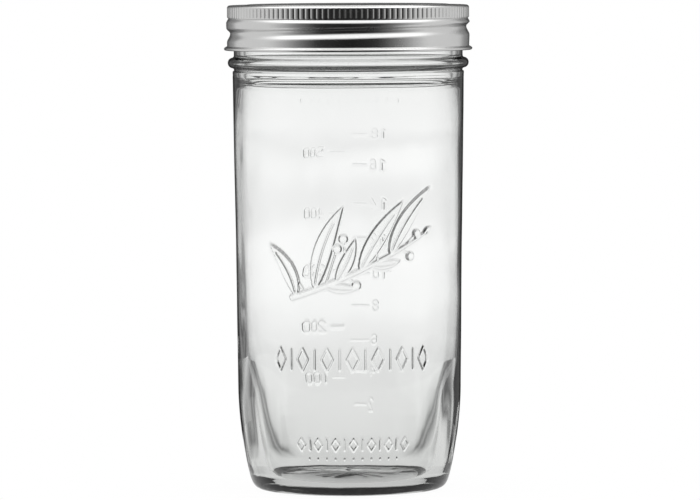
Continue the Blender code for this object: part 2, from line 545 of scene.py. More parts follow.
@dataclass(frozen=True)
class MeasuringScale:
    """The two measuring scales on the back: ticks with plain numbers, millilitres and fluid ounces.

    Attributes:
        digit_size: Width and height of a digit.
        half_width: Half the width of the lines.
        tick: Near and far end of a tick, from the middle of the back.
        numbers_at: Where the numbers start, from the middle of the back.
        digit_pitch: From one digit to the next, as a share of a digit's width.
        millilitres: Height of the first tick for millilitres, and from one to the next.
        ounces: The same for fluid ounces.
    """

    digit_size: Point = (2.3, 4.0)
    half_width: float = 0.45
    tick: Point = (1.8, 7.2)
    numbers_at: float = 9.2
    digit_pitch: float = 1.45
    millilitres: Point = (32.0, 22.25)
    ounces: Point = (22.0, 13.35)

    # Each digit on a grid of 4 by 6.
    DIGITS: ClassVar[dict[str, list[tuple[int, int]]]] = {
        "0": [(0, 1), (1, 0), (3, 0), (4, 1), (4, 5), (3, 6), (1, 6), (0, 5), (0, 1)],
        "1": [(1, 5), (2, 6), (2, 0)],
        "2": [(0, 5), (1, 6), (3, 6), (4, 5), (4, 4), (0, 0), (4, 0)],
        "3": [(0, 5), (1, 6), (3, 6), (4, 5), (4, 4), (3, 3), (4, 2), (4, 1), (3, 0), (1, 0), (0, 1)],
        "4": [(3, 0), (3, 6), (0, 2), (4, 2)],
        "5": [(4, 6), (0, 6), (0, 3), (3, 3), (4, 2), (4, 1), (3, 0), (0, 0)],
        "6": [(4, 5), (3, 6), (1, 6), (0, 5), (0, 1), (1, 0), (3, 0), (4, 1), (4, 2), (3, 3), (0, 3)],
        "8": [(1, 3), (0, 4), (0, 5), (1, 6), (3, 6), (4, 5), (4, 4), (3, 3), (1, 3), (0, 2), (0, 1)]
        + [(1, 0), (3, 0), (4, 1), (4, 2), (3, 3)],
    }

    def number(self, value: int, start: float, height: float) -> list[Stroke]:
        """The strokes of one number.

        Args:
            value: The number.
            start: Left end of its first digit.
            height: Height of its middle.

        Returns:
            One stroke for each digit.
        """
        wide, tall = self.digit_size
        strokes = []
        for place, digit in enumerate(str(value)):
            left = start + place * wide * self.digit_pitch
            grid = self.DIGITS[digit]
            points = [(left + wide * x / 4, height + tall * (y / 6 - 0.5)) for x, y in grid]
            strokes.append(Stroke.even(points, self.half_width))
        return strokes

    def strokes(self) -> tuple[Stroke, ...]:
        """Draws both scales.

        Returns:
            Their ticks and numbers, with heights counted from the surface that the jar stands on.
        """
        near, far = self.tick
        strokes = []
        for step in range(5):
            height = self.millilitres[0] + self.millilitres[1] * step
            strokes.append(Stroke.even([(near, height), (far, height)], self.half_width))
            strokes += self.number(100 * (step + 1), self.numbers_at, height)
        for step in range(9):
            height = self.ounces[0] + self.ounces[1] * step
            value = 2 * (step + 1)
            wide = self.digit_size[0] * (1.0 if value < 10 else 1.0 + self.digit_pitch)
            strokes.append(Stroke.even([(-far, height), (-near, height)], self.half_width))
            strokes += self.number(value, -self.numbers_at - wide, height)
        return tuple(strokes)


# ---------------------------------------------------------------------------------------------------------
# Shaders
# ---------------------------------------------------------------------------------------------------------


class Channel:
    """One number on its way through a shader. Ordinary arithmetic on it adds Math nodes."""

    def __init__(self, nodes: "Nodes", socket: bpy.types.NodeSocket) -> None:
        """Wraps a socket of a node tree."""
        self.nodes = nodes
        self.socket = socket

    def _math(self, operation: str, *values: object) -> "Channel":
        """Adds a Math node with this operation and returns its result."""
        node = self.nodes.add("ShaderNodeMath", {"operation": operation}, dict(enumerate(values)))
        return Channel(self.nodes, node.outputs[0])

    def __add__(self, other: object) -> "Channel":
        """self + other."""
        return self._math("ADD", self, other)

    def __radd__(self, other: object) -> "Channel":
        """other + self."""
        return self._math("ADD", other, self)

    def __sub__(self, other: object) -> "Channel":
        """self - other."""
        return self._math("SUBTRACT", self, other)

    def __rsub__(self, other: object) -> "Channel":
        """other - self."""
        return self._math("SUBTRACT", other, self)

    def __mul__(self, other: object) -> "Channel":
        """self * other."""
        return self._math("MULTIPLY", self, other)

    def __rmul__(self, other: object) -> "Channel":
        """other * self."""
        return self._math("MULTIPLY", other, self)

    def __abs__(self) -> "Channel":
        """The distance from 0."""
        return self._math("ABSOLUTE", self)

    def turn_from(self, other: "Channel") -> "Channel":
        """The angle, in radians, whose tangent is self / other."""
        return self._math("ARCTAN2", self, other)

    def nearest(self, step: float) -> "Channel":
        """How far this is from the nearest multiple of step."""
        return abs(self._math("WRAP", self, step / 2, -step / 2))

    def ramp(self, stops: list[tuple[float, float]]) -> "Channel":
        """This number looked up on a grey ramp of (position, value) stops."""
        node = self.nodes.add("ShaderNodeValToRGB", {"stops": stops}, {"Fac": self})
        return Channel(self.nodes, node.outputs["Color"])

    def mixed(self, low: object, high: object) -> "Channel":
        """Blends two values by this share.

        Args:
            low: Result where this is 0.
            high: Result where this is 1.

        Returns:
            The blend.
        """
        settings = {"data_type": "FLOAT"}
        node = self.nodes.add("ShaderNodeMix", settings, {"Factor": self, "A": low, "B": high})
        return Channel(self.nodes, node.outputs["Result"])


class Nodes:
    """A node tree, and the one way in which this script adds nodes to it."""

    def __init__(self, tree: bpy.types.NodeTree) -> None:
        """Works on this tree."""
        self.tree = tree

    def add(self, kind: str, settings: dict | None = None, inputs: dict | None = None) -> bpy.types.Node:
        """Adds a node.

        Args:
            kind: The node's type.
            settings: Its properties, which are set first. "stops" fills a ramp.
            inputs: Values or links for its sockets, by name or number.

        Returns:
            The new node.
        """
        node = self.tree.nodes.new(kind)
        for name, value in (settings or {}).items():
            if name == "stops":
                self._fill(node.color_ramp, value)
            else:
                setattr(node, name, value)
        for key, value in (inputs or {}).items():
            self.feed(node.inputs[key], value)
        return node

    def feed(self, socket: bpy.types.NodeSocket, value: object) -> None:
        """Links a channel or a socket to this socket, or sets its value.

        Args:
            socket: The socket that is fed.
            value: The channel, socket or plain value.
        """
        value = value.socket if isinstance(value, Channel) else value
        if isinstance(value, bpy.types.NodeSocket):
            self.tree.links.new(value, socket)
        else:
            socket.default_value = value

    @staticmethod
    def _fill(ramp: bpy.types.ColorRamp, stops: list[tuple[float, float]]) -> None:
        """Gives a ramp its stops.

        Args:
            ramp: The ramp, as it comes with two stops.
            stops: Position and value of each, in order.
        """
        while len(ramp.elements) < len(stops):
            ramp.elements.new(1.0)
        for element, (position, value) in zip(ramp.elements, stops):
            element.position = position
            element.color = (value, value, value, 1.0)

    def split(self, vector: bpy.types.NodeSocket) -> tuple[Channel, Channel, Channel]:
        """The three parts of a vector."""
        node = self.add("ShaderNodeSeparateXYZ", inputs={"Vector": vector})
        return tuple(Channel(self, output) for output in node.outputs)

    def join(self, x: object, y: object, z: object) -> bpy.types.NodeSocket:
        """A vector from three numbers."""
        return self.add("ShaderNodeCombineXYZ", inputs={"X": x, "Y": y, "Z": z}).outputs["Vector"]

    def noise(self, place: bpy.types.NodeSocket, scale: float, detail: float = 2.0) -> Channel:
        """Soft noise.

        Args:
            place: Where on the piece it is looked up.
            scale: Number of its waves in one unit of the place.
            detail: How many finer layers it has.

        Returns:
            A number from 0 to 1.
        """
        inputs = {"Vector": place, "Scale": scale, "Detail": detail}
        node = self.add("ShaderNodeTexNoise", inputs=inputs)
        return Channel(self, node.outputs["Fac"])


class Shader(Nodes):
    """A material with a Principled surface."""

    def __init__(self, name: str) -> None:
        """Makes the material, empty but for its surface.

        Args:
            name: The material's name.
        """
        self.material = bpy.data.materials.new(name)
        self.material.use_nodes = True
        super().__init__(self.material.node_tree)
        self.surface = self.tree.nodes["Principled BSDF"]
        self.output = self.tree.nodes["Material Output"]

    def place(self) -> bpy.types.NodeSocket:
        """Where a point of the surface is on its own piece, in metres."""
        return self.add("ShaderNodeTexCoord").outputs["Object"]

    def set(self, **values: object) -> None:
        """Feeds sockets of the surface, named with underscores for spaces."""
        for name, value in values.items():
            self.feed(self.surface.inputs[name.replace("_", " ")], value)

    def bump(self, height: Channel, distance: float, strength: float) -> None:
        """Raises the surface by a height from 0 to 1, over a distance in metres."""
        inputs = {"Height": height, "Distance": distance, "Strength": strength}
        self.set(Normal=self.add("ShaderNodeBump", inputs=inputs).outputs["Normal"])

    def tint(self, share: Channel, low: Colour, high: Colour) -> bpy.types.NodeSocket:
        """A colour between two others.

        Args:
            share: 0 for the first colour, 1 for the second.
            low: The first colour.
            high: The second colour.

        Returns:
            The colour's socket.
        """
        settings = {"data_type": "RGBA"}
        node = self.add("ShaderNodeMix", settings, {"Factor": share, 6: (*low, 1.0), 7: (*high, 1.0)})
        return node.outputs[2]


@dataclass(frozen=True)
class ClearGlass:
    """Clear pressed and blown glass with a faint chill ripple.

    Attributes:
        ior: Refractive index.
        ripple: Height of the fine ripple, in metres.
        absorbs: Colour that light keeps on its way through the glass.
        density: How fast it is absorbed, for each metre.
        clean: Colour of the surface where it is cleanest.
        hazy: Colour where a faint haze lies on it.
    """

    ior: float = 1.51
    ripple: float = 0.00006
    absorbs: tuple[float, float, float, float] = (0.80, 0.84, 0.78, 1.0)
    density: float = 16.0
    clean: Colour = (0.985, 0.992, 0.988)
    hazy: Colour = (1.0, 1.0, 1.0)

    def material(self) -> bpy.types.Material:
        """Makes the glass.

        Returns:
            The material.
        """
        shader = Shader("clear_glass")
        x, y, z = shader.split(shader.place())
        upright = shader.noise(shader.join(x * 60.0, y * 60.0, z * 9.0), 1.0, 3.0)
        peel = shader.noise(shader.place(), 420.0, 2.0)
        haze = shader.noise(shader.place(), 38.0, 4.0)
        shader.set(
            Base_Color=shader.tint(haze, self.clean, self.hazy),
            Roughness=haze.ramp([(0.45, 0.0), (0.8, 0.03)]),
            IOR=self.ior,
            Transmission_Weight=1.0,
        )
        shader.bump(upright * 0.85 + peel * 0.15, self.ripple, 0.15)
        inputs = {"Color": self.absorbs, "Density": self.density}
        volume = shader.add("ShaderNodeVolumeAbsorption", inputs=inputs)
        shader.feed(shader.output.inputs["Volume"], volume.outputs["Volume"])
        return shader.material


@dataclass(frozen=True)
class Tinplate:
    """Bright tin-plated steel, with rolling lines either round the axis or straight across.

    Attributes:
        name: The material's name.
        round_axis: Whether the lines run round the axis.
        bright: Colour where the tin is clean.
        dull: Colour where it is handled or scuffed.
        smoothest: Least roughness.
        roughest: Greatest roughness.
    """

    name: str
    round_axis: bool
    bright: Colour = (0.80, 0.80, 0.795)
    dull: Colour = (0.66, 0.66, 0.655)
    smoothest: float = 0.13
    roughest: float = 0.3

    def material(self) -> bpy.types.Material:
        """Makes the metal.

        Returns:
            The material.
        """
        shader = Shader(self.name)
        x, y, z = shader.split(shader.place())
        if self.round_axis:
            lines_at = shader.join(x.turn_from(y) * 0.9, z * 2600.0, 0.0)
        else:
            lines_at = shader.join(x * 25.0, y * 2600.0, 0.0)
        lines = shader.noise(lines_at, 1.0, 3.0)
        cloud = shader.noise(shader.place(), 55.0, 4.0)
        specks = shader.noise(shader.place(), 900.0, 2.0)
        wear = cloud * 0.6 + lines * 0.25 + specks * 0.15
        shader.set(
            Base_Color=shader.tint(wear, self.bright, self.dull),
            Metallic=1.0,
            Roughness=wear.ramp([(0.3, self.smoothest), (0.7, self.roughest)]),
        )
        shader.bump(lines * 0.7 + specks * 0.3, 0.00002, 0.35)
        return shader.material


@dataclass(frozen=True)
class SealingCompound:
    """Matte grey compound that was poured as a liquid and cured.

    Attributes:
        low: Its darker colour.
        high: Its lighter colour.
    """

    low: Colour = (0.035, 0.037, 0.042)
    high: Colour = (0.085, 0.088, 0.095)

    def material(self) -> bpy.types.Material:
        """Makes the compound.

        Returns:
            The material.
        """
        shader = Shader("sealing_compound")
        cloud = shader.noise(shader.place(), 130.0, 4.0)
        grain = shader.noise(shader.place(), 1600.0, 2.0)
        shader.set(Base_Color=shader.tint(cloud, self.low, self.high), Roughness=cloud * 0.25 + 0.42)
        shader.bump(grain * 0.4 + cloud * 0.6, 0.00012, 0.5)
        return shader.material


# ---------------------------------------------------------------------------------------------------------
# The pieces
# ---------------------------------------------------------------------------------------------------------


@dataclass(frozen=True)
class GlassJar:
    """The jar itself: one closed body of glass with its thread, bead, seams and raised marks.

    Attributes:
        rim: Height of the sealing rim, from the frame.
        wall: Points up the outside of the wall, from the heel to the shoulder.
        inside: Points down the inside of the wall.
        bore_radius: Radius of the mouth.
        neck_radius: Radius of the neck under its thread.
        bead_radius: Radius of the transfer bead.
        thread: The screw thread on the neck.
        thread_stands: Height of its ridge.
        chill: Depth of the slow waves inside.
        dimple: Depth of the waves in the floor inside.
        settle: Depth of the slow waves outside.
        seams_deg: Where the mould's two seams are.
        seam: Height and half the width of a seam.
        split: How many times finer the mesh is where a mark slopes, up the wall and round it.
        step: Least step of a mark across a face for which the face is made finer.
    """

    rim: float
    wall: tuple[Point, ...] = ((40.6, 38.0), (40.85, 61.5), (41.2, 94.0), (41.75, 127.0), (42.0, 148.6))
    inside: tuple[Point, ...] = (
        (39.0, 146.7),
        (39.7, 138.0),
        (39.6, 110.0),
        (39.4, 82.0),
        (39.0, 66.0),
        (38.0, 50.0),
        (36.2, 36.0),
        (33.8, 22.0),
        (31.6, 12.0),
    )
    bore_radius: float = 38.1
    neck_radius: float = 41.65
    bead_radius: float = 43.85
    thread: ScrewThread = ScrewThread(170.1, -345.0, 37.5, 1.6, 22.5, tail=1.6)
    thread_stands: float = 1.15
    chill: float = 0.1
    dimple: float = 0.12
    settle: float = 0.02
    seams_deg: Point = (92.0, -88.0)
    seam: Point = (0.1, 2.1)
    split: tuple[int, int] = (3, 3)
    step: float = 0.04

    # Radius at which marks are unrolled, and the length of a degree there, near enough for a seam.
    UNROLLED: ClassVar[float] = 40.6
    DEGREE: ClassVar[float] = 0.7

    def outside(self) -> list[Point]:
        """The outline from the middle of the base, up the outside, to the crown of the rim.

        Returns:
            Its points.
        """
        base = smooth([(0.6, 2.2), (12.0, 2.05), (20.0, 1.5), (25.8, 0.75), (29.0, 0.06)], 6)
        foot = [(29.6, 0.0), (32.2, 0.0)]
        heel = bezier(((32.7, 0.02), (35.4, 0.1), (36.2, 3.4), (36.95, 6.9)), 16)
        lower = bezier(((36.95, 6.9), (39.1, 16.9), (40.6, 28.0), self.wall[0]), 24)
        upper = smooth(list(self.wall), 20)
        shoulder = bezier((upper[-1], (42.0, 150.0), (42.05, 150.6), (42.1, 151.2)), 6)
        edge = arc((41.6, 151.75), 0.5, 0.0, 90.0, 5) + [(41.45, 152.4)]
        bead_middle, bead_half, sunk = 155.1, 1.95, 0.25
        stands = self.bead_radius + sunk - self.neck_radius
        turns = np.radians(np.linspace(-84.0, 84.0, 17))
        radii = self.neck_radius - sunk + stands * np.cos(turns) ** 0.75
        bead = list(zip(radii, bead_middle + bead_half * np.sin(turns)))
        neck = [(self.neck_radius, 157.6), (self.neck_radius, self.rim - 1.5)]
        lip = arc((self.neck_radius - 1.4, self.rim - 1.4), 1.4, 0.0, 90.0, 8)
        return base + foot + heel[1:] + lower[1:] + upper[1:] + shoulder[1:] + edge + bead + neck + lip

    def interior(self) -> list[Point]:
        """The outline from the crown of the rim, down the inside, to the middle of the floor.

        Returns:
            Its points.
        """
        rim = arc((self.bore_radius + 0.9, self.rim - 0.9), 0.9, 90.0, 180.0, 7)
        under = (self.bore_radius, 149.8)
        step = bezier((under, (self.bore_radius, 148.3), (38.75, 148.7), self.inside[0]), 10)
        wall = smooth(list(self.inside), 12)
        corner = bezier((self.inside[-1], (30.2, 6.2), (29.0, 4.1), (26.0, 3.7)), 12)
        floor = smooth([(26.0, 3.7), (21.0, 3.55), (12.0, 4.1), (0.6, 4.4)], 6)
        return rim + step + wall[1:] + corner[1:] + floor[1:]

    @staticmethod
    def columns() -> np.ndarray:
        """Angles of the mesh's columns, closest together in front and behind, where the marks are."""
        angles = [-180.0]
        while angles[-1] < 180.0:
            marked = abs(angles[-1]) < 42.0 or abs(angles[-1]) > 150.0
            angles.append(angles[-1] + (1.0 if marked else 3.0))
        return np.array(angles[:-1])

    @staticmethod
    def row_spacing(height: float) -> float:
        """Distance from one row of the outside to the next at this height."""
        for low, high, spacing in ((-1.0, 8.0, 1.0), (8.0, 150.0, 1.05), (150.0, 152.6, 0.4)):
            if low <= height < high:
                return spacing
        return 0.48

    @staticmethod
    def inner_spacing(height: float) -> float:
        """Distance from one row of the inside to the next at this height."""
        return 1.2 if height > 145.0 or height < 20.0 else 4.0

    def marks(self) -> tuple[Mark, ...]:
        """Everything that stands raised on the wall.

        Returns:
            The marks, front ones first.
        """
        sprig, veins = Sprig().strokes()
        wide = Border(width=55.0, tall=8.2, count=13, half_width=0.5).strokes()
        narrow = Border(width=40.0, tall=4.6, count=13, half_width=0.4).strokes()
        dots = tuple(Stroke.even([(3.4 * i, 0.0)], 0.55) for i in range(-5, 6))
        dash = Border(width=59.2, tall=2.6, count=17, half_width=0.42)
        dashes = tuple(dash.bar(3.7 * i) for i in range(-8, 9))
        return (
            Mark(tuple(sprig), 1.6, 93.5, 1.0, 0.8, tuple(veins)),
            Mark(wide, 1.6, 49.7, 0.5, 0.42),
            Mark(narrow, 2.0, 19.0, 0.28, 0.38),
            Mark(dots, 2.0, 13.8, 0.2, 0.5),
            Mark(MeasuringScale().strokes(), 180.0, 0.0, 0.36, 0.42),
            Mark(dashes, 180.0, 143.6, 0.25, 0.4),
        )

    def waves(self, angles: np.ndarray, heights: np.ndarray, depth: float, seed: int) -> np.ndarray:
        """The slow unevenness that blowing leaves in a wall.

        Args:
            angles: Degrees from the front, one for each column.
            heights: One for each row.
            depth: Depth of the largest wave.
            seed: Picks the waves.

        Returns:
            A change of radius at each row and column.
        """
        draw = np.random.default_rng(seed)
        turn, up = np.meshgrid(np.radians(angles), heights)
        total = np.zeros(turn.shape)
        for count in (2, 3, 5, 8, 11, 16, 23):
            share = depth / math.sqrt(count)
            length = draw.uniform(35.0, 110.0)
            lean, phase, start = draw.uniform(0.0, 2.0 * math.pi, 3)
            total += share * np.cos(count * turn + phase + 0.8 * np.sin(math.tau * up / length + lean))
            total += 0.4 * share * np.cos(count * turn + start) * np.cos(2.0 * math.tau * up / length + lean)
        return total

    @staticmethod
    def between(steps: np.ndarray, split: int) -> np.ndarray:
        """The same run of numbers with split - 1 new ones between each and the next."""
        places = np.arange((len(steps) - 1) * split + 1) / split
        return np.interp(places, np.arange(len(steps)), steps)

    def sloping(self, raised: np.ndarray) -> np.ndarray:
        """Which faces of the mesh have a slope of a mark on them.

        Args:
            raised: How far the marks stand off, at each row and column.

        Returns:
            A flag for each face, up the wall and round it.
        """
        up, across = self.split
        wrapped = np.concatenate([raised, raised[:, :1]], axis=1)
        tall, wide = raised.shape[0] - 1, raised.shape[1]
        parts = [
            wrapped[i : i + tall : up, j : j + wide : across][: tall // up, : wide // across]
            for i in range(up + 1)
            for j in range(across + 1)
        ]
        return np.max(parts, axis=0) - np.min(parts, axis=0) > self.step

    def press(self, angles: np.ndarray, heights: np.ndarray, radii: np.ndarray) -> np.ndarray:
        """Raises the marks, seams, thread and slow waves of the outside.

        Args:
            angles: Degrees from the front, one for each column.
            heights: Height at each row and column of the outside.
            radii: Radius at each of them, which this changes.

        Returns:
            How far the marks alone stand off, at each row and column.
        """
        level, reach = heights[:, 0], radii[:, 0].copy()
        on_wall = (reach > 33.0) & (level < 150.5)
        on_neck = (reach > self.neck_radius - 0.6) & (level > 157.0)
        raised = np.zeros(radii.shape)
        for mark in self.marks():
            raised[on_wall] += mark.raised(angles, level[on_wall], self.UNROLLED)
        radii += raised
        seam = np.min([np.abs(angles - place) for place in self.seams_deg], axis=0) * self.DEGREE
        stands, half_width = self.seam
        radii[on_wall] += stands * np.clip(1.0 - seam / half_width, 0.0, 1.0)[None, :]
        radii[on_wall] += self.waves(angles, level, self.settle, 3)[on_wall]
        radii[on_neck] += self.thread_stands * self.thread.share(angles, heights)[on_neck]
        return raised

    def blow(self, angles: np.ndarray, heights: np.ndarray, radii: np.ndarray) -> None:
        """Gives the inside its slow waves, which fade out at the mouth and change over to the floor.

        Args:
            angles: Degrees from the front, one for each column.
            heights: Height at each row and column of the inside, which this changes.
            radii: Radius at each of them, which this changes.
        """
        level, reach = heights[:, :1].copy(), radii[:, :1].copy()
        on_wall = np.clip((147.0 - level) / 12.0, 0.0, 1.0) * np.clip((reach - 26.0) / 8.0, 0.0, 1.0)
        radii += self.waves(angles, level[:, 0], self.chill, 11) * on_wall
        on_floor = np.clip((28.0 - reach) / 6.0, 0.0, 1.0) * np.clip(reach / 20.0, 0.0, 1.0) * (level < 8.0)
        heights += self.waves(angles, reach[:, 0] * 2.0, self.dimple, 5) * on_floor

    def build(self) -> bpy.types.Object:
        """Makes the glass.

        Returns:
            The jar's object.
        """
        up, across = self.split
        angles = self.between(np.append(self.columns(), 180.0), across)[:-1]
        outer = spaced(self.outside(), self.row_spacing)
        inner = spaced(self.interior(), self.inner_spacing)[1:]
        outline = np.stack([self.between(axis, up) for axis in np.concatenate([outer, inner]).T], axis=1)
        radii = np.repeat(outline[:, :1], len(angles), axis=1)
        heights = np.repeat(outline[:, 1:], len(angles), axis=1)
        last = (len(outer) - 1) * up + 1
        raised = np.zeros(radii.shape)
        raised[:last] = self.press(angles, heights[:last], radii[:last])
        self.blow(angles, heights[last:], radii[last:])
        return TurnedPiece("jar_glass", angles, radii, heights, True, self.split, self.sloping(raised)).make()

    def dress(self, piece: bpy.types.Object) -> None:
        """Gives the jar its glass and puts it in the frame."""
        piece.data.materials.append(ClearGlass().material())
        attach(piece, Body.JAR.value)
        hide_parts("glass_jar")


@dataclass(frozen=True)
class ScrewBand:
    """The rolled band: flange, knurling, thread and curled edge, of one thickness of sheet.

    Attributes:
        top: Height of the flange's upper face, from the frame.
        sheet: Thickness of the metal.
        hole_radius: Radius of the hole in the flange.
        radius: Middle of the sheet at the knurling.
        corner: Rounding between flange and skirt.
        knurls: Number of flutes round the band.
        knurl_depth: Depth of a flute.
        knurl_span: Lowest and highest point of the flutes.
        thread: The groove that engages under the jar's thread.
        thread_depth: Depth of that groove.
        seam_deg: Where the strip's ends are welded together.
        sharp_deg: Least angle of an edge that is left sharp.
    """

    top: float
    sheet: float = 0.3
    hole_radius: float = 38.8
    radius: float = 43.88
    corner: float = 0.85
    knurls: int = 132
    knurl_depth: float = 0.16
    knurl_span: Point = (171.5, 175.25)
    thread: ScrewThread = ScrewThread(168.3, -315.0, 37.5, 1.9, 37.5, tail=3.4)
    thread_depth: float = 1.3
    seam_deg: float = 152.0
    sharp_deg: float = 24.0

    # Where the lattice's columns stand in one flute, and half the width of its groove, both in flutes.
    PLACES: ClassVar[tuple[float, ...]] = (0.0, 0.25, 0.34, 0.42, 0.5, 0.58, 0.66, 0.75)
    GROOVE: ClassVar[float] = 0.25

    def centreline(self) -> list[Point]:
        """The middle of the sheet, from the edge of the hole, over the corner and down to the curl.

        Returns:
            Its points.
        """
        middle = self.top - self.sheet / 2
        edge = [(self.hole_radius, middle - 0.12), (self.hole_radius + 0.5, middle)]
        flange = [(41.0, middle)]
        corner = arc((self.radius - self.corner, middle - self.corner), self.corner, 90.0, 0.0, 8)
        low, high = self.knurl_span
        steps = (0.0, 0.15, 0.3, 0.45, 0.8, high - low - 0.8, high - low - 0.45, high - low - 0.3)
        knurling = [(self.radius, high - down) for down in steps] + [(self.radius - 0.1, low)]
        bulge = bezier(((self.radius - 0.5, low - 0.2), (43.42, 171.0), (44.1, 170.3), (44.22, 169.6)), 8)
        skirt = [(44.22 - 0.32 * i / 28, 169.6 - 8.3 * i / 28) for i in range(1, 29)]
        flare = bezier((skirt[-1], (43.88, 161.0), (44.2, 160.98), (44.62, 160.72)), 6)
        curl = arc((44.62, 160.22), 0.42, 80.0, -170.0, 16)
        return edge + flange + corner + knurling + bulge + skirt + flare[1:] + curl

    def columns(self) -> np.ndarray:
        """Angles of the mesh's columns: eight for each flute, closest together on its slopes."""
        flutes = np.arange(self.knurls)[:, None] + np.array(self.PLACES)[None, :]
        return (flutes * 360.0 / self.knurls).ravel() - 180.0

    def fluting(self, angles: np.ndarray, heights: np.ndarray) -> np.ndarray:
        """How far the flutes cut in at each place.

        Args:
            angles: Degrees from the front, one for each column.
            heights: Heights at each row and column.

        Returns:
            A depth at each row and column.
        """
        place = ((angles + 180.0) * self.knurls / 360.0) % 1.0
        across = 0.5 * (1.0 + np.cos(np.pi * np.clip(np.abs(place - 0.5) / self.GROOVE, 0.0, 1.0)))
        low, high = self.knurl_span
        up = np.clip(np.minimum(heights - low, high - heights) / 0.3 + 0.3, 0.0, 1.0)
        return self.knurl_depth * across[None, :] * up

    def build(self) -> bpy.types.Object:
        """Makes the band.

        Returns:
            Its object.
        """
        angles = self.columns()
        outline = sheet(self.centreline(), self.sheet)[::-1]
        radii = np.repeat(outline[:, :1], len(angles), axis=1)
        heights = np.repeat(outline[:, 1:], len(angles), axis=1)
        skirt = (outline[:, 0] > self.radius - self.corner - 0.2)[:, None]
        change = self.thread_depth * self.thread.share(angles, heights) + self.fluting(angles, heights)
        seam = np.clip(1.0 - np.abs(angles - self.seam_deg) / 1.3, 0.0, 1.0)[None, :] * 0.12
        outward = skirt & (outline[:, 1] < self.knurl_span[0] - 0.5)[:, None]
        radii += np.where(skirt, -change, 0.0) + np.where(outward, seam, 0.0)
        low, high = self.knurl_span
        level = np.stack([outline[:, 1], np.roll(outline[:, 1], -1)])
        fluted = (level.max(axis=0) > low - 0.3) & (level.min(axis=0) < high + 0.3) & skirt[:, 0]
        fine = np.repeat(fluted[:, None], self.knurls, axis=1)
        piece = TurnedPiece("band_metal", angles, radii, heights, False, (1, len(self.PLACES)), fine).make()
        piece.data.set_sharp_from_angle(angle=math.radians(self.sharp_deg))
        return piece

    def dress(self, piece: bpy.types.Object) -> None:
        """Gives the band its tinplate and puts it in the frame."""
        piece.data.materials.append(Tinplate("band_tinplate", round_axis=True).material())
        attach(piece, Body.BAND.value)
        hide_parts("screw_band")


@dataclass(frozen=True)
class LidDisc:
    """The pressed lid: lip, channel over the seal, raised panel with its rings, and middle button.

    Attributes:
        foot: Height of the lip's foot, from the frame.
        lip: From there up to the middle of the sheet in the channel.
        raised: From there up to the middle of the sheet in the panel.
        sheet: Thickness of the metal.
        radius: Middle of the sheet at the lip.
        columns: Number of facets round the lid.
    """

    foot: float
    lip: float = 1.7
    raised: float = 0.9
    sheet: float = 0.25
    radius: float = 42.45
    columns: int = 240

    def centreline(self) -> list[Point]:
        """The middle of the sheet, from the lip's foot to the middle of the button.

        Returns:
            Its points.
        """
        channel = self.foot + self.lip
        panel = channel + self.raised
        lip = [(self.radius, self.foot), (self.radius, channel - 1.0)]
        edge = arc((self.radius - 0.6, channel - 0.6), 0.6, 0.0, 90.0, 6)
        corners = [(38.4, channel), (38.0, channel + 0.03), (37.5, channel + 0.25), (37.1, channel + 0.7)]
        corners += [(36.8, panel - 0.08), (36.3, panel)]
        ring = [(32.0, panel), (31.2, panel - 0.12), (30.2, panel - 0.34)]
        ring += [(29.2, panel - 0.12), (28.4, panel)]
        flat = [(22.0, panel), (15.2, panel)]
        button = smooth([(14.2, panel), (12.8, panel + 0.1), (11.6, panel + 0.16)], 4)
        middle = [(6.0, panel + 0.17), (0.6, panel + 0.17)]
        return lip + edge + smooth(corners, 4) + smooth(ring, 3) + flat + button + middle

    def build(self) -> bpy.types.Object:
        """Makes the lid.

        Returns:
            Its object.
        """
        angles = np.linspace(-180.0, 180.0, self.columns, endpoint=False)
        outline = sheet(self.centreline(), self.sheet)
        half = len(outline) // 2
        outline = np.concatenate([outline[:half][::-1], outline[half:][::-1]])
        radii = np.repeat(outline[:, :1], self.columns, axis=1)
        heights = np.repeat(outline[:, 1:], self.columns, axis=1)
        reach = outline[:, :1] / 30.0
        lean = np.cos(np.radians(angles * 2.0 + 30.0))[None, :]
        heights += 0.03 * np.clip(1.0 - reach, 0.0, 1.0) * lean * reach
        return TurnedPiece("lid_metal", angles, radii, heights, capped=True).make()

    def dress(self, piece: bpy.types.Object) -> None:
        """Gives the lid its tinplate and puts it in the frame."""
        metal = Tinplate("lid_tinplate", False, smoothest=0.16, roughest=0.32)
        piece.data.materials.append(metal.material())
        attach(piece, Body.LID.value)
        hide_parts("lid_disc")


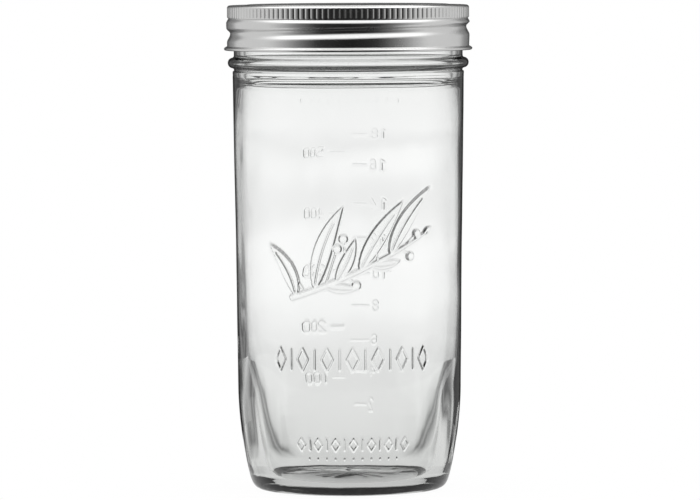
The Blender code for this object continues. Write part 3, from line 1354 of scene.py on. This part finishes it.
@dataclass(frozen=True)
class SealRing:
    """The ring of compound under the lid's edge, with a groove where the rim has pressed it.

    Attributes:
        low: Height of its lower face, from the frame.
        high: Height of its upper face, from the frame.
        inner_radius: Its inner radius.
        outer_radius: Its outer radius.
        columns: Number of facets round it.
    """

    low: float
    high: float
    inner_radius: float = 38.7
    outer_radius: float = 41.95
    columns: int = 192

    def build(self) -> bpy.types.Object:
        """Makes the ring.

        Returns:
            Its object.
        """
        inner, outer = self.inner_radius, self.outer_radius
        middle = (inner + outer) / 2
        bottom = smooth([(outer - 0.35, self.low), (middle, self.low + 0.09), (inner + 0.35, self.low)], 5)
        outline = bottom + arc((inner + 0.35, self.low + 0.35), 0.35, 270.0, 180.0, 4)[1:]
        outline += [(inner, self.high), (outer, self.high)]
        outline += arc((outer - 0.35, self.low + 0.35), 0.35, 0.0, -90.0, 4)[:-1]
        points = np.array(outline)[::-1]
        angles = np.linspace(-180.0, 180.0, self.columns, endpoint=False)
        radii = np.repeat(points[:, :1], self.columns, axis=1)
        heights = np.repeat(points[:, 1:], self.columns, axis=1)
        flow = 0.05 * np.cos(np.radians(angles * 9.0)) + 0.04 * np.cos(np.radians(angles * 23.0 + 40.0))
        radii += np.where(radii < inner + 0.3, flow[None, :], 0.0)
        return TurnedPiece("seal_compound", angles, radii, heights, capped=False).make()

    def dress(self, piece: bpy.types.Object) -> None:
        """Gives the ring its compound and puts it in the frame."""
        piece.data.materials.append(SealingCompound().material())
        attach(piece, Body.LID.value)
        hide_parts("seal_ring")


# ---------------------------------------------------------------------------------------------------------
# The studio
# ---------------------------------------------------------------------------------------------------------


@dataclass(frozen=True)
class Studio:
    """A pale floor under an even white tent, with dark flags that draw the edges of the glass.

    Attributes:
        floor_radius: Radius of the floor, in metres.
        shadow: Share of the floor's tone that soft shadows can take away.
        overhead: Brightness of the soft box above.
        backlight: Brightness of the tent behind glass.
    """

    floor_radius: float = 0.17
    shadow: float = 0.03
    overhead: float = 1.4
    backlight: float = 1.1

    # Tone of the tent by its angle from straight behind the jar, as a share of half a turn: first as metal
    # mirrors it, then as glass bends it, for which the four sides of the tent are alike.
    MIRRORED: ClassVar[list[Point]] = [
        (0.0, 0.04),
        (0.1, 0.06),
        (0.13, 0.22),
        (0.21, 0.3),
        (0.27, 0.72),
        (0.55, 0.78),
        (0.63, 0.55),
        (0.73, 0.22),
        (0.83, 0.03),
        (1.0, 0.01),
    ]
    BENT: ClassVar[list[Point]] = [
        (0.0, 1.0),
        (0.03, 1.0),
        (0.07, 0.97),
        (0.115, 0.9),
        (0.14, 0.06),
        (0.19, 0.06),
        (0.205, 0.3),
        (0.225, 0.9),
        (0.25, 1.0),
    ]
    # The same for light that was reflected on its way through the glass, which streaks the wall's edges.
    ECHOED: ClassVar[list[Point]] = [
        (0.0, 0.03),
        (0.1, 0.04),
        (0.125, 0.3),
        (0.145, 0.25),
        (0.158, 0.04),
        (0.17, 0.3),
        (0.178, 0.5),
        (0.184, 0.08),
        (0.192, 0.6),
        (0.25, 0.45),
        (0.5, 0.35),
        (1.0, 0.3),
    ]
    # The same for the floor away from the jar, as glass shows it: painted dark bands.
    ASLANT: ClassVar[list[Point]] = [
        (0.0, 1.0),
        (0.11, 0.97),
        (0.135, 0.75),
        (0.152, 0.15),
        (0.166, 0.4),
        (0.182, 0.1),
        (0.2, 0.3),
        (0.25, 0.9),
    ]
    # Tone of the tent behind glass by its height, from straight down at 0 to straight up at 1.
    LEVELS: ClassVar[list[Point]] = [
        (0.0, 0.5),
        (0.35, 0.74),
        (0.3986, 0.79),
        (0.434, 0.89),
        (0.4475, 0.97),
        (0.4708, 1.0),
        (0.4777, 0.93),
        (0.4836, 0.88),
        (0.5, 0.95),
        (0.65, 0.9),
        (0.75, 0.7),
        (1.0, 1.3),
    ]
    # Tone of the floor by its distance from the jar's axis, in metres: a painted shadow, darkest close to the
    # foot.
    FLOOR: ClassVar[list[Point]] = [
        (0.0, 0.5),
        (0.031, 0.6),
        (0.036, 0.7),
        (0.06, 0.7),
        (0.12, 0.85),
        (0.17, 0.9),
    ]

    def light(self) -> None:
        """Makes the tent.

        It is white where it is seen straight. What metal mirrors and what glass bends into view have tones
        of their own, by their direction.
        """
        world = bpy.data.worlds.new("white_tent")
        world.use_nodes = True
        bpy.context.scene.world = world
        nodes = Nodes(world.node_tree)
        x, y, z = nodes.split(nodes.add("ShaderNodeTexCoord").outputs["Generated"])
        path = nodes.add("ShaderNodeLightPath")
        straight, scattered, passed, reflected = (
            Channel(nodes, path.outputs[name])
            for name in ("Is Camera Ray", "Is Diffuse Ray", "Is Transmission Ray", "Glossy Depth")
        )
        behind = abs(x.turn_from(y)) * (1.0 / math.pi)
        mirrored = behind.ramp(self.MIRRORED)
        overhead = z.ramp([(0.55, 0.0), (0.8, 1.0)]).mixed(0.0, self.overhead)
        bent = behind.nearest(0.5).ramp(self.BENT) * (z * 0.5 + 0.5).ramp(self.LEVELS)
        through = reflected.mixed(bent * self.backlight, behind.ramp(self.ECHOED))
        shown = passed.mixed(mirrored + overhead, through)
        shown = straight.mixed(scattered.mixed(shown, 1.0), 1.0)
        background = nodes.tree.nodes["Background"]
        nodes.feed(background.inputs["Color"], shown)

    def floor(self) -> None:
        """Lays the floor.

        It glows evenly where it is seen straight, but for a faint shadow. Through glass it shows painted
        shade:
        a painted shadow that greys it close to the foot, painted shade in front and painted dark bands
        further out.
        """
        bpy.ops.mesh.primitive_circle_add(vertices=96, radius=self.floor_radius, fill_type="NGON")
        floor = bpy.context.object
        floor.name = "studio_floor"
        floor.location.z = -0.0004
        material = bpy.data.materials.new("pale_floor")
        material.use_nodes = True
        nodes = Nodes(material.node_tree)
        nodes.tree.nodes.remove(nodes.tree.nodes["Principled BSDF"])
        path = nodes.add("ShaderNodeLightPath")
        straight = Channel(nodes, path.outputs["Is Camera Ray"])
        place = nodes.add("ShaderNodeTexCoord").outputs["Object"]
        length = nodes.add("ShaderNodeVectorMath", {"operation": "LENGTH"}, {0: place}).outputs["Value"]
        far = Channel(nodes, length)
        x, y, _ = nodes.split(place)
        # Painted shade: the floor's glow is much darker in front of the jar, as glass shows it.
        front = (y * -1.0).ramp([(0.045, 1.0), (0.07, 0.1)])
        # Painted dark bands on the floor's glow away from the jar, by angle, as glass shows them.
        painted_dark_bands = (abs(x.turn_from(y)) * (1.0 / math.pi)).nearest(0.5).ramp(self.ASLANT)
        painted_dark_bands = far.ramp([(0.055, 0.0), (0.08, 1.0)]).mixed(1.0, painted_dark_bands)
        # The glow that glass shows carries the painted shadow by distance, the painted front shade and the
        # painted dark bands.
        tone = far.ramp(self.FLOOR) * front * painted_dark_bands
        glow = nodes.add("ShaderNodeEmission", inputs={"Color": straight.mixed(tone, 1.0)})
        paint = nodes.add("ShaderNodeBsdfDiffuse", inputs={"Color": (0.95, 0.95, 0.95, 1.0)})
        faint = far.ramp([(0.04, self.shadow), (0.09, 0.0)])
        links = {0: faint, 1: glow.outputs[0], 2: paint.outputs[0]}
        mixed = nodes.add("ShaderNodeMixShader", inputs=links)
        nodes.feed(nodes.tree.nodes["Material Output"].inputs["Surface"], mixed.outputs[0])
        floor.data.materials.append(material)


@dataclass(frozen=True)
class Camera:
    """The camera: far off, a little above the lid and pointed at the middle of the jar.

    Attributes:
        distance: Distance from the jar's axis, in metres.
        height: Height above the floor.
        aim_height: Height of the point that it looks at.
        lens: Focal length in millimetres, for a sensor 36 mm wide.
        aside: How far it stands to the right of the axis.
        roll_deg: Its lean, in degrees.
    """

    distance: float = 1.849
    height: float = 0.1986
    aim_height: float = 0.0867
    lens: float = 261.2
    aside: float = 0.00036
    roll_deg: float = -0.24

    def place(self) -> None:
        """Puts the camera in the scene, level but for the tilt that aims it and its slight lean."""
        data = bpy.data.cameras.new("camera")
        data.lens = self.lens
        data.sensor_width = 36.0
        data.clip_end = 50.0
        camera = bpy.data.objects.new("camera", data)
        bpy.context.scene.collection.objects.link(camera)
        camera.location = Vector((self.aside, -self.distance, self.height))
        down = math.atan2(self.height - self.aim_height, self.distance)
        camera.rotation_euler = Euler((math.pi / 2 - down, 0.0, 0.0)).to_matrix().to_euler()
        camera.rotation_euler.rotate_axis("Z", math.radians(self.roll_deg))
        bpy.context.scene.camera = camera


def corner_mm(node: str) -> tuple[Vector, Vector]:
    """Lowest and highest corner of a node of the frame, in millimetres."""
    low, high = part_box(node)
    return low / MM, high / MM


def main() -> None:
    """Builds the pieces round the frame, dresses them and sets up the studio."""
    logging.basicConfig(level=logging.INFO, format="%(message)s")
    bpy.context.scene.view_settings.view_transform = "Standard"
    Camera().place()
    seal_low, seal_high = corner_mm("seal_ring")
    pieces = (
        GlassJar(rim=corner_mm("glass_jar")[1].z),
        ScrewBand(top=corner_mm("screw_band")[1].z),
        LidDisc(foot=corner_mm("lid_disc")[0].z),
        SealRing(low=seal_low.z, high=seal_high.z),
    )
    for piece in pieces:
        piece.dress(piece.build())
    studio = Studio()
    studio.light()
    studio.floor()


if __name__ == "__main__":
    main()
